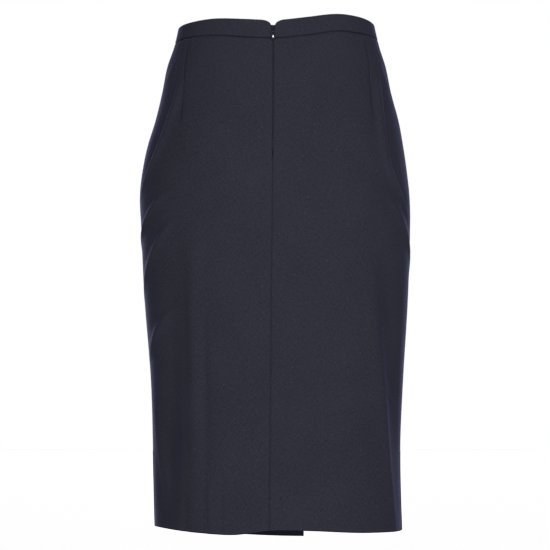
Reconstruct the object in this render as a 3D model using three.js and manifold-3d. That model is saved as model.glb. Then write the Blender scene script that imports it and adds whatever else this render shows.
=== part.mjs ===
// A navy wool pencil skirt as it is worn, with no wearer: a hollow tube of cloth, open at the waist and the hem.
// Units are millimetres. The wearer faces +Y, +X is the wearer's right and +Z is up.
// The origin is the middle of the waist, at half the height of the waistband, where a wearer's waist holds the skirt.
// Angles are degrees round the skirt: 0 is the middle of the back, 90 the right side, 180 the front, 270 the left.
import * as THREE from "three";
import { mergeVertices } from "three/addons/utils/BufferGeometryUtils.js";
import Module from "manifold-3d";

const CLOTH = 1.8;
// The waistband is thicker than the panels, and its outer face stands proud of theirs.
const BAND = 2.6;
const BAND_PROUD = 0.4;
const SEAM_GAP = 0.3;

// The skirt's sections, from the top edge to below the hem. left and right are its half-widths, back and front its
// depths, and square is the power of the rounded section: 2 is an ellipse and more is squarer.
const SECTIONS = [
  { height: 24, left: 125, right: 126, back: 95, front: 92, square: 2.1 },
  { height: 4, left: 128, right: 130, back: 97, front: 94, square: 2.1 },
  { height: -18, left: 133.2, right: 135.2, back: 101, front: 97, square: 2.12 },
  { height: -45, left: 142.2, right: 143.6, back: 108, front: 102, square: 2.15 },
  { height: -80, left: 149, right: 150.6, back: 116, front: 108, square: 2.2 },
  { height: -115, left: 157.5, right: 159.8, back: 124, front: 112, square: 2.22 },
  { height: -150, left: 167.9, right: 165.9, back: 130, front: 115, square: 2.25 },
  { height: -185, left: 174.4, right: 170.7, back: 133, front: 117, square: 2.25 },
  { height: -215, left: 176.9, right: 173.7, back: 133, front: 118, square: 2.25 },
  { height: -250, left: 175, right: 174.4, back: 131.5, front: 119, square: 2.25 },
  { height: -345, left: 170.5, right: 171, back: 127, front: 120, square: 2.25 },
  { height: -450, left: 162, right: 164.2, back: 123, front: 120, square: 2.25 },
  { height: -550, left: 158.5, right: 160, back: 120, front: 120, square: 2.25 },
  { height: -670, left: 154.6, right: 163.2, back: 118, front: 119, square: 2.25 },
];
// The angles where the depths change from the back's to the front's, and where the waistband is seamed.
const SIDES = 90;

// The side seams, which come round to the back at the hips and run down to the sides as the pocket mouths' lips.
const SIDE_SEAMS = [
  { height: 24, left: 74, right: 77 },
  { height: -18, left: 71.5, right: 74.5 },
  { height: -45, left: 67, right: 70.5 },
  { height: -80, left: 62.8, right: 66.8 },
  { height: -115, left: 63.9, right: 62.8 },
  { height: -150, left: 65.8, right: 61.2 },
  { height: -185, left: 72.3, right: 63 },
  { height: -215, left: 81.5, right: 69.6 },
  { height: -250, left: 88.5, right: 80 },
  { height: -290, left: 90, right: 88.8 },
  { height: -345, left: 90, right: 90 },
  { height: -670, left: 90, right: 90 },
];
// Along a pocket's mouth the front panel dips under the back panel's lip by dip, and comes back within reach degrees.
const POCKET = {
  left: { top: -64, low: -228 }, right: { top: -60, low: -266 }, dip: 2.1, reach: 9, fadeTop: 22, fadeLow: 56,
};

// The folds, each along a line from (topAngle, top) to (lowAngle, low). width is the angle at which it has nearly
// gone, and rise its greatest height, below 0 for a trough.
const FOLDS = [
  { name: "left trough", topAngle: -69, top: -640, lowAngle: -48, low: -205, width: 15, rise: -8.0 },
  { name: "left ridge", topAngle: -44, top: -280, lowAngle: -47, low: -700, width: 7, rise: 3.0 },
  { name: "left furrow", topAngle: -39.5, top: -370, lowAngle: -40.5, low: -690, width: 4.5, rise: -2.0 },
  { name: "left hip drag", topAngle: -56, top: -214, lowAngle: -92, low: -290, width: 5.5, rise: 3.4 },
  { name: "left thigh drag", topAngle: -54, top: -250, lowAngle: -86, low: -352, width: 5.5, rise: 3.6 },
  { name: "left knee drag", topAngle: -57, top: -360, lowAngle: -83, low: -432, width: 6, rise: 3.4 },
  { name: "left hem swell", topAngle: -66, top: -615, lowAngle: -77, low: -470, width: 6, rise: 3.0 },
  { name: "right trough", topAngle: 57, top: -290, lowAngle: 77, low: -590, width: 10, rise: -4.8 },
  { name: "right ridge", topAngle: 50, top: -345, lowAngle: 74, low: -700, width: 8, rise: 3.8 },
  { name: "right hip drag", topAngle: 58, top: -215, lowAngle: 92, low: -325, width: 6.5, rise: 2.8 },
  { name: "front left trough", topAngle: 232, top: -240, lowAngle: 238, low: -640, width: 13, rise: -4.0 },
  { name: "front left ridge", topAngle: 214, top: -300, lowAngle: 217, low: -700, width: 12, rise: 3.0 },
  { name: "front right trough", topAngle: 128, top: -250, lowAngle: 122, low: -640, width: 12, rise: -3.6 },
  { name: "front right ridge", topAngle: 146, top: -300, lowAngle: 143, low: -700, width: 10, rise: 2.4 },
];
// A fold's height falls to a third at this share of its width, and swells and fades along it by this power.
const FOLD_SPREAD = 0.6;
const FOLD_FADE = 1.2;

// The waist seam and the waistband's top edge, which dip at the middle of the back and sit higher on the right.
const WAIST = [
  { angle: -180, seam: -12, top: 9 },
  { angle: -135, seam: -12, top: 9 },
  { angle: -95, seam: -12, top: 7 },
  { angle: -65, seam: -13, top: 7 },
  { angle: -45, seam: -14.5, top: 7 },
  { angle: -22, seam: -19.5, top: 3.5 },
  { angle: 0, seam: -21.5, top: 1.5 },
  { angle: 22, seam: -17, top: 6 },
  { angle: 45, seam: -9, top: 13 },
  { angle: 62, seam: -8.5, top: 13.5 },
  { angle: 85, seam: -8.5, top: 11 },
  { angle: 135, seam: -11.5, top: 9.5 },
  { angle: 180, seam: -12, top: 9 },
];

// The hem. The front's left piece hangs lowest, and ends at the slit.
const BACK_HEM = [
  { angle: -95, height: -638.5 },
  { angle: -70, height: -637 },
  { angle: -45, height: -640 },
  { angle: -25, height: -641.5 },
  { angle: -3, height: -636 },
  { angle: 20, height: -636.5 },
  { angle: 50, height: -640.5 },
  { angle: 95, height: -643 },
];
const FRONT_RIGHT_HEM = [
  { angle: 92, height: -642.83 },
  { angle: 125, height: -647 },
  { angle: 165, height: -649 },
];
const FRONT_LEFT_HEM = [
  { angle: 155, height: -660.5 },
  { angle: 180, height: -660 },
  { angle: 205, height: -657 },
  { angle: 240, height: -648 },
  { angle: 268, height: -638.32 },
];

// Seams: how far right of the middle the back seam and the front slit seam lie, down the skirt.
const BACK_SEAM = [
  { height: 24, right: -3.7 },
  { height: -160, right: -4.2 },
  { height: -340, right: -6 },
  { height: -670, right: -9 },
];
const FRONT_SEAM_RIGHT = 41;
const SLIT_TOP = -420;
const SLIT_HALF_AT_HEM = 3;

// The zip runs in the back seam, from the waistband to ZIP_END. Its edges part above the slider.
const ZIP_END = -170;
const EDGE_PARTING = [
  { height: 6, cloth: 3.4, tape: 0.45 },
  { height: -4, cloth: 2.8, tape: 0.45 },
  { height: -9, cloth: 2, tape: 0.45 },
  { height: -11.5, cloth: 1.6, tape: 1 },
  { height: -13, cloth: 1.4, tape: 1.05 },
  { height: -20, cloth: 1.2, tape: 1.05 },
  { height: -32, cloth: 0.5, tape: 0.25 },
  { height: ZIP_END, cloth: 0.4, tape: 0.25 },
  { height: ZIP_END - 12, cloth: SEAM_GAP / 2, tape: 0.25 },
  { height: -700, cloth: SEAM_GAP / 2, tape: 0.25 },
];
// The waistband's top corners at the zip, and the shares of its length at which their curve is cut.
const BAND_CORNER = { wide: 12, tall: 7, shares: [0, 0.012, 0.03, 0.055, 0.085] };
const TAPE = { wide: 11, thick: 1, top: -4.2 };

// The slider and its pull, in a frame that lies on the cloth with +Y into the skirt and +Z up along the back.
const SLIDER = {
  height: -15, bodyWide: 6.6, bodyWideLow: 4.6, bodyTall: 9, bodyThick: 2.4,
  neckWide: 1.4, eyeRadius: 0.85, ringRadius: 1.6, pivotOut: 1.6,
};
const PULL = { barRadius: 0.5, holeWide: 2.3, holeEnd: 2.1, topWide: 4.4, wide: 6.2, long: 9.5, thick: 1 };

const NAVY = 0x2e2e39;
const DARK_NAVY = 0x16151a;

const radians = THREE.MathUtils.degToRad;
const mix = THREE.MathUtils.lerp;
const clamp01 = (x) => THREE.MathUtils.clamp(x, 0, 1);
const smooth = (x) => THREE.MathUtils.smoothstep(x, 0, 1);

// A column of a table at a place between its rows, on a smooth curve through them.
function read(table, key, at, column) {
  const rows = table[0][key] < table[table.length - 1][key] ? table : [...table].reverse();
  const last = rows.length - 1;
  const place = THREE.MathUtils.clamp(at, rows[0][key], rows[last][key]);
  let i = 0;
  while (i < last - 1 && rows[i + 1][key] < place) i++;
  const slope = (a, b) => (rows[b][column] - rows[a][column]) / (rows[b][key] - rows[a][key]);
  const tangent = (k) => slope(Math.max(k - 1, 0), Math.min(k + 1, last));
  const span = rows[i + 1][key] - rows[i][key];
  const t = (place - rows[i][key]) / span;
  const [t2, t3] = [t * t, t * t * t];
  return (
    (2 * t3 - 3 * t2 + 1) * rows[i][column] + (t3 - 2 * t2 + t) * span * tangent(i) +
    (3 * t2 - 2 * t3) * rows[i + 1][column] + (t3 - t2) * span * tangent(i + 1)
  );
}

// An angle in the range from -180 to 180.
const wrap = (angle) => THREE.MathUtils.euclideanModulo(angle + 180, 360) - 180;

// How far the folds lift the cloth at a place.
function foldRise(angle, height) {
  let rise = 0;
  for (const fold of FOLDS) {
    const along = (fold.top - height) / (fold.top - fold.low);
    if (along <= 0 || along >= 1) continue;
    const across = wrap(angle - mix(fold.topAngle, fold.lowAngle, along)) / (fold.width * FOLD_SPREAD);
    rise += fold.rise * Math.sin(Math.PI * Math.sqrt(along)) ** FOLD_FADE * Math.exp(-across * across);
  }
  return rise;
}

const sideSeam = (height, side) => read(SIDE_SEAMS, "height", height, side);

// How far the front panel dips beside a pocket's mouth.
function pocketDip(away, height, side) {
  const { top, low } = POCKET[side];
  const mouth = smooth((top - height) / POCKET.fadeTop) * smooth((height - low) / POCKET.fadeLow);
  return POCKET.dip * mouth * (1 - clamp01((away - sideSeam(height, side)) / POCKET.reach)) ** 2;
}

// The distance of a layer's outer face from the skirt's axis. The layer is back or front.
function radius(angle, height, layer = "back") {
  const turned = wrap(angle);
  const [across, along] = [Math.abs(Math.sin(radians(turned))), Math.abs(Math.cos(radians(turned)))];
  const side = turned < 0 ? "left" : "right";
  const width = read(SECTIONS, "height", height, side);
  const depth = read(SECTIONS, "height", height, Math.abs(turned) > SIDES ? "front" : "back");
  const power = read(SECTIONS, "height", height, "square");
  const plain = ((across / width) ** power + (along / depth) ** power) ** (-1 / power);
  const dip = layer === "front" ? pocketDip(Math.abs(turned), height, side) : 0;
  return plain + foldRise(turned, height) - dip;
}

function surface(angle, height, layer) {
  const r = radius(angle, height, layer);
  return new THREE.Vector3(r * Math.sin(radians(angle)), -r * Math.cos(radians(angle)), height);
}

// The outward direction of a layer's outer face.
function outward(angle, height, layer) {
  const round = surface(angle + 0.5, height, layer).sub(surface(angle - 0.5, height, layer));
  const down = surface(angle, height - 2, layer).sub(surface(angle, height + 2, layer));
  return down.cross(round).normalize();
}

// The angle that a distance round the cloth takes up there.
const asAngle = (distance, angle, height) => THREE.MathUtils.radToDeg(distance / radius(angle, height));

// The back seam's angle, moved by so many millimetres.
function backSeam(height, moved) {
  const depth = read(SECTIONS, "height", height, "back");
  return THREE.MathUtils.radToDeg(Math.atan2(read(BACK_SEAM, "height", height, "right") + moved, depth));
}

const backEdge = (side) => (height) => backSeam(height, side * read(EDGE_PARTING, "height", height, "cloth"));

function frontSeam(height, moved) {
  const depth = read(SECTIONS, "height", height, "front");
  return 180 - THREE.MathUtils.radToDeg(Math.atan2(FRONT_SEAM_RIGHT - moved, depth));
}

const slitHalf = (height) =>
  SEAM_GAP / 2 + SLIT_HALF_AT_HEM * clamp01((SLIT_TOP - height) / (SLIT_TOP - FRONT_RIGHT_HEM[0].height));

// The edge of a piece on one side of a seam, whose angle is a function of the height. The gap is kept on a slant too.
const sideEdge = (seam, side) => (height) => {
  const slant = (radians(seam(height + 1) - seam(height - 1)) / 2) * radius(seam(height), height);
  return seam(height) + side * asAngle((SEAM_GAP / 2) * Math.hypot(1, slant), seam(height), height);
};
// Where the front panel dips, its edge stays this share of the dip farther from the lip.
const DIP_CLEARANCE = 0.45;
const dippedEdge = (seam, side, name) => (height) => {
  const dip = pocketDip(sideSeam(height, name), height, name);
  return sideEdge(seam, side)(height) + side * asAngle(DIP_CLEARANCE * dip, seam(height), height);
};
const rightSeam = (height) => sideSeam(height, "right");
const leftSeam = (height) => -sideSeam(height, "left");
const leftSeamFromFront = (height) => 360 + leftSeam(height);

const waistSeam = (angle) => read(WAIST, "angle", wrap(angle), "seam");
const bandTop = (angle) => read(WAIST, "angle", wrap(angle), "top");
const hem = (table) => (angle) => read(table, "angle", angle, "height");
// A front panel's hem goes on from the back's at the side.
const frontHem = (table) => (angle) => (Math.abs(wrap(angle)) < SIDES + 2 ? hem(BACK_HEM)(wrap(angle)) : hem(table)(angle));
const panelTop = (angle) => waistSeam(angle) - SEAM_GAP / 2;
const bandBottom = (angle) => waistSeam(angle) + SEAM_GAP / 2;

// Shares from 0 to 1, closer together towards 1 if crowd is under 1.
const shares = (count, crowd = 1) => Array.from({ length: count + 1 }, (_, i) => (i / count) ** crowd);
const mirrored = (list) => list.map((s) => 1 - s).reverse();

// A closed wall of cloth between two edges, a top and a bottom. Its outer face stands off the skirt's face by out.
function wall({ from, to, top, bottom, across, down, layer = "back", out = 0, thick = CLOTH }) {
  const [columns, rows] = [across.length, down.length];
  const points = [];
  for (const off of [out, out - thick]) {
    for (const v of down) {
      for (const u of across) {
        let height = mix(top(from(0)), bottom(from(0)), v);
        let angle = mix(from(height), to(height), u);
        for (let pass = 0; pass < 3; pass++) {
          height = mix(top(angle), bottom(angle), v);
          angle = mix(from(height), to(height), u);
        }
        points.push(...surface(angle, height, layer).addScaledVector(outward(angle, height, layer), off).toArray());
      }
    }
  }
  const at = (face, j, i) => face * columns * rows + j * columns + i;
  const faces = [];
  const quad = (a, b, c, d) => faces.push(a, b, c, a, c, d);
  for (let j = 0; j < rows - 1; j++) {
    for (let i = 0; i < columns - 1; i++) {
      quad(at(0, j, i), at(0, j + 1, i), at(0, j + 1, i + 1), at(0, j, i + 1));
      quad(at(1, j, i), at(1, j, i + 1), at(1, j + 1, i + 1), at(1, j + 1, i));
    }
    quad(at(0, j, 0), at(1, j, 0), at(1, j + 1, 0), at(0, j + 1, 0));
    quad(at(0, j, columns - 1), at(0, j + 1, columns - 1), at(1, j + 1, columns - 1), at(1, j, columns - 1));
  }
  for (let i = 0; i < columns - 1; i++) {
    quad(at(0, 0, i), at(0, 0, i + 1), at(1, 0, i + 1), at(1, 0, i));
    quad(at(0, rows - 1, i), at(1, rows - 1, i), at(1, rows - 1, i + 1), at(0, rows - 1, i + 1));
  }
  const geometry = new THREE.BufferGeometry();
  geometry.setAttribute("position", new THREE.Float32BufferAttribute(points, 3));
  geometry.setIndex(faces);
  geometry.computeVertexNormals();
  return geometry;
}

const wool = () => new THREE.MeshStandardMaterial({ color: NAVY, roughness: 0.95, metalness: 0 });
const tapeCloth = () => new THREE.MeshStandardMaterial({ color: DARK_NAVY, roughness: 0.85, metalness: 0 });
const enamel = () => new THREE.MeshStandardMaterial({ color: DARK_NAVY, roughness: 0.3, metalness: 0.4 });

function piece(name, geometry, material) {
  const mesh = new THREE.Mesh(geometry, material);
  mesh.name = name;
  return mesh;
}

// The four panels, from the waist seam to the hem.
function panels() {
  const down = shares(36, 1.2);
  const backColumns = shares(20, 0.8);
  return [
    piece("back_right", wall({
      from: backEdge(1), to: sideEdge(rightSeam, -1), top: panelTop, bottom: hem(BACK_HEM), across: backColumns, down,
    }), wool()),
    piece("back_left", wall({
      from: sideEdge(leftSeam, 1), to: backEdge(-1), top: panelTop, bottom: hem(BACK_HEM),
      across: mirrored(backColumns), down,
    }), wool()),
    piece("front_right", wall({
      layer: "front", from: dippedEdge(rightSeam, 1, "right"), to: (height) => frontSeam(height, -slitHalf(height)),
      top: panelTop, bottom: frontHem(FRONT_RIGHT_HEM), across: mirrored(shares(20, 0.7)), down,
    }), wool()),
    piece("front_left", wall({
      layer: "front", from: (height) => frontSeam(height, slitHalf(height)), to: dippedEdge(leftSeamFromFront, -1, "left"),
      top: panelTop, bottom: frontHem(FRONT_LEFT_HEM), across: shares(26, 0.7), down,
    }), wool()),
  ];
}

// The waistband's top edge, rounded off at the zip.
function roundedTop(side) {
  return (angle) => {
    const top = bandTop(angle);
    const edge = backEdge(side)(top - BAND_CORNER.tall);
    const away = radians(Math.abs(wrap(angle) - edge)) * radius(angle, top);
    const turn = 1 - clamp01(away / BAND_CORNER.wide);
    return top - BAND_CORNER.tall * (1 - Math.sqrt(1 - turn * turn));
  };
}

function waistband() {
  const down = shares(3);
  const band = { out: BAND_PROUD, thick: BAND, bottom: bandBottom, down };
  const corner = BAND_CORNER.shares;
  const [right, left, leftFromFront] = [SIDES, -SIDES, 360 - SIDES].map((angle) => () => angle);
  const backColumns = [...corner, ...shares(12).slice(1).map((s) => mix(corner[corner.length - 1], 1, s))];
  return [
    piece("waistband_back_right", wall({
      ...band, from: backEdge(1), to: sideEdge(right, -1), top: roundedTop(1), across: backColumns,
    }), wool()),
    piece("waistband_back_left", wall({
      ...band, from: sideEdge(left, 1), to: backEdge(-1), top: roundedTop(-1), across: mirrored(backColumns),
    }), wool()),
    piece("waistband_front", wall({
      ...band, layer: "front", from: sideEdge(right, 1), to: sideEdge(leftFromFront, -1),
      top: bandTop, across: shares(28),
    }), wool()),
  ];
}

// The zip's two tapes lie on the inside of the waistband and the back panels.
function tapes() {
  const tape = {
    top: () => TAPE.top, bottom: () => ZIP_END, thick: TAPE.thick,
    out: BAND_PROUD - BAND - SEAM_GAP, across: [0, 0.5, 1], down: shares(24),
  };
  const inner = (side) => (height) => backSeam(height, side * read(EDGE_PARTING, "height", height, "tape"));
  const outer = (side) => (height) => backSeam(height, side * TAPE.wide);
  return [
    piece("zip_tape_right", wall({ ...tape, from: inner(1), to: outer(1) }), tapeCloth()),
    piece("zip_tape_left", wall({ ...tape, from: outer(-1), to: inner(-1) }), tapeCloth()),
  ];
}

const wasm = await Module();
wasm.setup();

function solid(geometry) {
  const bare = geometry.clone();
  bare.deleteAttribute("normal");
  bare.deleteAttribute("uv");
  const merged = mergeVertices(bare, 1e-4);
  return new wasm.Manifold(new wasm.Mesh({
    numProp: 3, vertProperties: merged.attributes.position.array, triVerts: new Uint32Array(merged.index.array),
  }));
}

function asGeometry(manifold) {
  const mesh = manifold.getMesh();
  const geometry = new THREE.BufferGeometry();
  geometry.setAttribute("position", new THREE.Float32BufferAttribute(mesh.vertProperties, 3));
  geometry.setIndex(new THREE.Uint32BufferAttribute(mesh.triVerts, 1));
  geometry.computeVertexNormals();
  return geometry;
}

// An outline drawn across and up, given a thickness from y = 0 towards +Y.
function plate(outline, thick) {
  const geometry = new THREE.ExtrudeGeometry(outline, { depth: thick, bevelEnabled: false, curveSegments: 8 });
  return geometry.rotateX(Math.PI / 2).translate(0, thick, 0);
}

function rod(rodRadius, long) {
  return new THREE.CylinderGeometry(rodRadius, rodRadius, long, 12).rotateZ(Math.PI / 2);
}

// The slider: a tapered body behind the tapes, and a neck through the parted edges that ends in a ring.
function slider() {
  const { bodyWide, bodyWideLow, bodyTall, bodyThick, neckWide, eyeRadius, ringRadius, pivotOut } = SLIDER;
  const behindTapes = BAND - BAND_PROUD + SEAM_GAP + TAPE.thick + SEAM_GAP;
  const shoulder = (bodyTall - bodyWide) / 2;
  const outline = new THREE.Shape();
  outline.moveTo(-bodyWideLow / 2, -bodyTall / 2);
  outline.lineTo(bodyWideLow / 2, -bodyTall / 2);
  outline.lineTo(bodyWide / 2, shoulder);
  outline.absarc(0, shoulder, bodyWide / 2, 0, Math.PI, false);
  const body = solid(plate(outline, bodyThick).translate(0, behindTapes, 0));

  const reach = pivotOut + behindTapes + bodyThick / 2;
  const side = new THREE.Shape();
  side.moveTo(0, -ringRadius);
  side.lineTo(reach, -ringRadius);
  side.lineTo(reach, ringRadius);
  side.lineTo(0, ringRadius);
  side.absarc(0, 0, ringRadius, Math.PI / 2, Math.PI * 1.5, false);
  const eye = new THREE.Path();
  eye.absarc(0, 0, eyeRadius, 0, Math.PI * 2, true);
  side.holes.push(eye);
  const [X, Y, Z] = [0, 1, 2].map((axis) => new THREE.Vector3().setComponent(axis, 1));
  const neck = new THREE.ExtrudeGeometry(side, { depth: neckWide, bevelEnabled: false, curveSegments: 12 });
  neck.applyMatrix4(new THREE.Matrix4().makeBasis(Y, Z, X)).translate(-neckWide / 2, -pivotOut, 0);
  return asGeometry(body.add(solid(neck)));
}

// The pull: a plate with a rounded end that hangs by a bar through the slider's ring.
function pull() {
  const { barRadius, holeWide, holeEnd, topWide, wide, long, thick } = PULL;
  const outline = new THREE.Shape();
  outline.moveTo(-topWide / 2, barRadius);
  outline.absarc(0, wide / 2 - long, wide / 2, Math.PI, Math.PI * 2, false);
  outline.lineTo(topWide / 2, barRadius);
  const tab = solid(plate(outline, thick).translate(0, -thick / 2, 0));
  const hole = new THREE.BoxGeometry(holeWide, thick * 2, holeEnd + thick).translate(0, 0, (thick - holeEnd) / 2);
  const bar = rod(barRadius, (holeWide + topWide) / 2);
  return asGeometry(tab.subtract(solid(hole)).add(solid(bar)));
}

// The slider and pull, laid on the slope of the back.
function fastener() {
  const seat = backSeam(SLIDER.height, 0);
  const onBack = new THREE.Group();
  onBack.position.copy(surface(seat, SLIDER.height));
  onBack.rotation.x = -Math.asin(outward(seat, SLIDER.height).z);
  const tab = piece("zip_pull", pull(), enamel());
  tab.position.y = -SLIDER.pivotOut;
  return onBack.add(piece("zip_slider", slider(), enamel()), tab);
}

export default new THREE.Group().add(...panels(), ...waistband(), ...tapes(), fastener());
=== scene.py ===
# A navy wool pencil skirt, filled out as it is worn, seen from the back. Lengths in the tables are in
# millimetres and angles are degrees round the skirt: 0 is the middle of the back, 90 the right side, 180 the
# front and 270 the left.
import math

import bpy
import numpy as np
from mathutils import Matrix, Vector


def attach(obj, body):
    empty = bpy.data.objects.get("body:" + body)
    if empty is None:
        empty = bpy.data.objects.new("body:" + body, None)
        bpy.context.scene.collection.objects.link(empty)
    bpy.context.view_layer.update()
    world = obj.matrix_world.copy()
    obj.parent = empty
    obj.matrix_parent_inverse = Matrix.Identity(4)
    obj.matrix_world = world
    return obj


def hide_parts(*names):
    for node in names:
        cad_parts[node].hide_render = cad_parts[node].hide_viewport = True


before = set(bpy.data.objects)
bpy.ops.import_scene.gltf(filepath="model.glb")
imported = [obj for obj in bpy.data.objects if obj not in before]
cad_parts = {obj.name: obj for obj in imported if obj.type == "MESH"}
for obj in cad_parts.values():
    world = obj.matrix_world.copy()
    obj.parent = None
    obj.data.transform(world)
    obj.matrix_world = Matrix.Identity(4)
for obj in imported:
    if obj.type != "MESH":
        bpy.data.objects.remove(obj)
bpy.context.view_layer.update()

MM = 0.001

# The construction's own sizes, as in the part's source.
CLOTH = 1.8
BAND = 2.6
BAND_PROUD = 0.4
SEAM_GAP = 0.3
SIDES = 90

SECTION_KEYS = ("height", "left", "right", "back", "front", "square")
SECTIONS = [
    (24, 125, 126, 95, 92, 2.1),
    (4, 128, 130, 97, 94, 2.1),
    (-18, 133.2, 135.2, 101, 97, 2.12),
    (-45, 142.2, 143.6, 108, 102, 2.15),
    (-80, 149, 150.6, 116, 108, 2.2),
    (-115, 157.5, 159.8, 124, 112, 2.22),
    (-150, 167.9, 165.9, 130, 115, 2.25),
    (-185, 174.4, 170.7, 133, 117, 2.25),
    (-215, 176.9, 173.7, 133, 118, 2.25),
    (-250, 175, 174.4, 131.5, 119, 2.25),
    (-345, 170.5, 171, 127, 120, 2.25),
    (-450, 162, 164.2, 123, 120, 2.25),
    (-550, 158.5, 160, 120, 120, 2.25),
    (-670, 154.6, 163.2, 118, 119, 2.25),
]

# The side seams: height, left angle, right angle.
SIDE_SEAMS = [
    (24, 74, 77), (-18, 71.5, 74.5), (-45, 67, 70.5), (-80, 62.8, 66.8),
    (-115, 63.9, 62.8), (-150, 65.8, 61.2), (-185, 72.3, 63), (-215, 81.5, 69.6),
    (-250, 88.5, 80), (-290, 90, 88.8), (-345, 90, 90), (-670, 90, 90),
]
# Where the front panels dip under the back panels' lips: a mouth's top and low end.
POCKETS = {"left": (-64, -228), "right": (-60, -266)}
POCKET_DIP = {"deep": 2.1, "reach": 9, "fade_top": 22, "fade_low": 56, "tucked_under": 4}

# Folds: name, top angle, top, low angle, low, width, rise.
FOLD_SPREAD = 0.6
FOLD_FADE = 1.2
FOLDS = [
    ("left trough", -69, -640, -48, -205, 15, -8.0),
    ("left ridge", -44, -280, -47, -700, 7, 3.0),
    ("left furrow", -39.5, -370, -40.5, -690, 4.5, -2.0),
    ("left hip drag", -56, -214, -92, -290, 5.5, 3.4),
    ("left thigh drag", -54, -250, -86, -352, 5.5, 3.6),
    ("left knee drag", -57, -360, -83, -432, 6, 3.4),
    ("left hem swell", -66, -615, -77, -470, 6, 3.0),
    ("right trough", 57, -290, 77, -590, 10, -4.8),
    ("right ridge", 50, -345, 74, -700, 8, 3.8),
    ("right hip drag", 58, -215, 92, -325, 6.5, 2.8),
    ("front left trough", 232, -240, 238, -640, 13, -4.0),
    ("front left ridge", 214, -300, 217, -700, 12, 3.0),
    ("front right trough", 128, -250, 122, -640, 12, -3.6),
    ("front right ridge", 146, -300, 143, -700, 10, 2.4),
]

# Small creases that only the finished cloth has, in the same form.
CREASES = [
    ("left dart tip", -60, -60, -50, -175, 4, -1.2),
    ("right dart tip", 61, -60, 51, -175, 4, -1.5),
    ("left hip crease", -57, -216, -91, -288, 2.4, 0.9),
    ("left thigh crease", -55, -254, -85, -349, 2.4, 0.9),
    ("left knee crease", -58, -364, -82, -428, 2.6, 0.8),
    ("right knee crease", 60, -455, 76, -496, 3, 0.9),
    ("right hip crease", 62, -232, 88, -312, 3, 0.7),
    ("left ridge foot", -53, -300, -56, -690, 5.5, 0.9),
    ("right ridge crease", 58, -440, 76, -730, 4, 1.3),
    ("left hip drag start", -54, -206, -64, -240, 6, -0.8),
    ("left thigh drag start", -52, -240, -62, -276, 6, -0.8),
    ("left knee drag start", -55, -348, -64, -382, 6, -0.8),
    ("left hem ripple 1", -31, -560, -33, -700, 3, -0.9),
    ("left hem ripple 2", -38, -570, -38, -700, 3, 1.0),
    ("left hem ripple 3", -52, -590, -52, -700, 3.5, -1.0),
    ("right hem ripple", 30, -590, 33, -700, 4, -0.5),
    ("right waist drag", 66, -40, 84, -95, 6, 0.9),
    ("left waist drag", -64, -35, -84, -90, 6, 0.8),
    ("seat drag left", -14, -185, -40, -215, 9, 0.6),
    ("seat drag right", 12, -190, 38, -225, 9, 0.6),
    ("front lap left", 204, -30, 214, -130, 8, 0.9),
    ("front lap right", 152, -40, 140, -140, 8, 0.8),
    ("front slit pull", 166, -330, 161, -480, 6, -0.9),
]

# Round the waist: angle, the waist seam's height, the waistband's top.
WAIST = [
    (-180, -12, 9), (-135, -12, 9), (-95, -12, 7), (-65, -13, 7), (-45, -14.5, 7), (-22, -19.5, 3.5),
    (0, -21.5, 1.5), (22, -17, 6), (45, -9, 13), (62, -8.5, 13.5), (85, -8.5, 11), (135, -11.5, 9.5),
    (180, -12, 9),
]
# The hems: angle, height.
BACK_HEM = [
    (-95, -638.5), (-70, -637), (-45, -640), (-25, -641.5), (-3, -636), (20, -636.5), (50, -640.5),
    (95, -643),
]
FRONT_RIGHT_HEM = [(92, -642.83), (125, -647), (165, -649)]
FRONT_LEFT_HEM = [(155, -660.5), (180, -660), (205, -657), (240, -648), (268, -638.32)]
HEM_JOIN = 2  # the front's hem leaves the back's this far past the side
# The back seam: height, how far it lies to the right.
BACK_SEAM = [(24, -3.7), (-160, -4.2), (-340, -6), (-670, -9)]
FRONT_SEAM_RIGHT = 41
SLIT_TOP = -420
SLIT_HALF_AT_HEM = 3
SLIT_CLOSING = 12  # the seam above the slit is closed from one part in this many of the slit's height
ZIP_END = -170
ZIP_CLOSING = 12  # the height below the zip over which the back seam closes
# The zip's parting: height, half the panels' gap, half the tapes' gap.
EDGE_PARTING = [
    (6, 3.4, 0.45), (-4, 2.8, 0.45), (-9, 2, 0.45), (-11.5, 1.6, 1), (-13, 1.4, 1.05), (-20, 1.2, 1.05),
    (-32, 0.5, 0.25), (ZIP_END, 0.4, 0.25), (ZIP_END - ZIP_CLOSING, SEAM_GAP / 2, 0.25),
    (-700, SEAM_GAP / 2, 0.25),
]
BAND_CORNER = {"wide": 12, "tall": 7}
TAPE = {"wide": 11, "thick": 1, "top": -4.2}
SLIDER = {
    "height": -15, "body_wide": 6.6, "body_wide_low": 4.6, "body_tall": 9, "body_thick": 2.4,
    "neck_wide": 1.4, "eye_radius": 0.85, "ring_radius": 1.6, "pivot_out": 1.6,
    "body_bevel": 0.3, "neck_bevel": 0.2,
}
PULL = {
    "bar_radius": 0.5, "hole_wide": 2.3, "hole_end": 2.1, "top_wide": 4.4, "wide": 6.2, "long": 9.5,
    "thick": 1, "corner": 0.5, "bevel": 0.28,
}
BOSS = {"half": (1.35, 2.2, 0.75), "below_pivot": 5.9}
WELD = 2e-7  # points of a metal piece that lie closer than this, in metres, are one
CREASE_ANGLE = 40  # a metal piece's edges that turn more than this stay sharp

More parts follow.
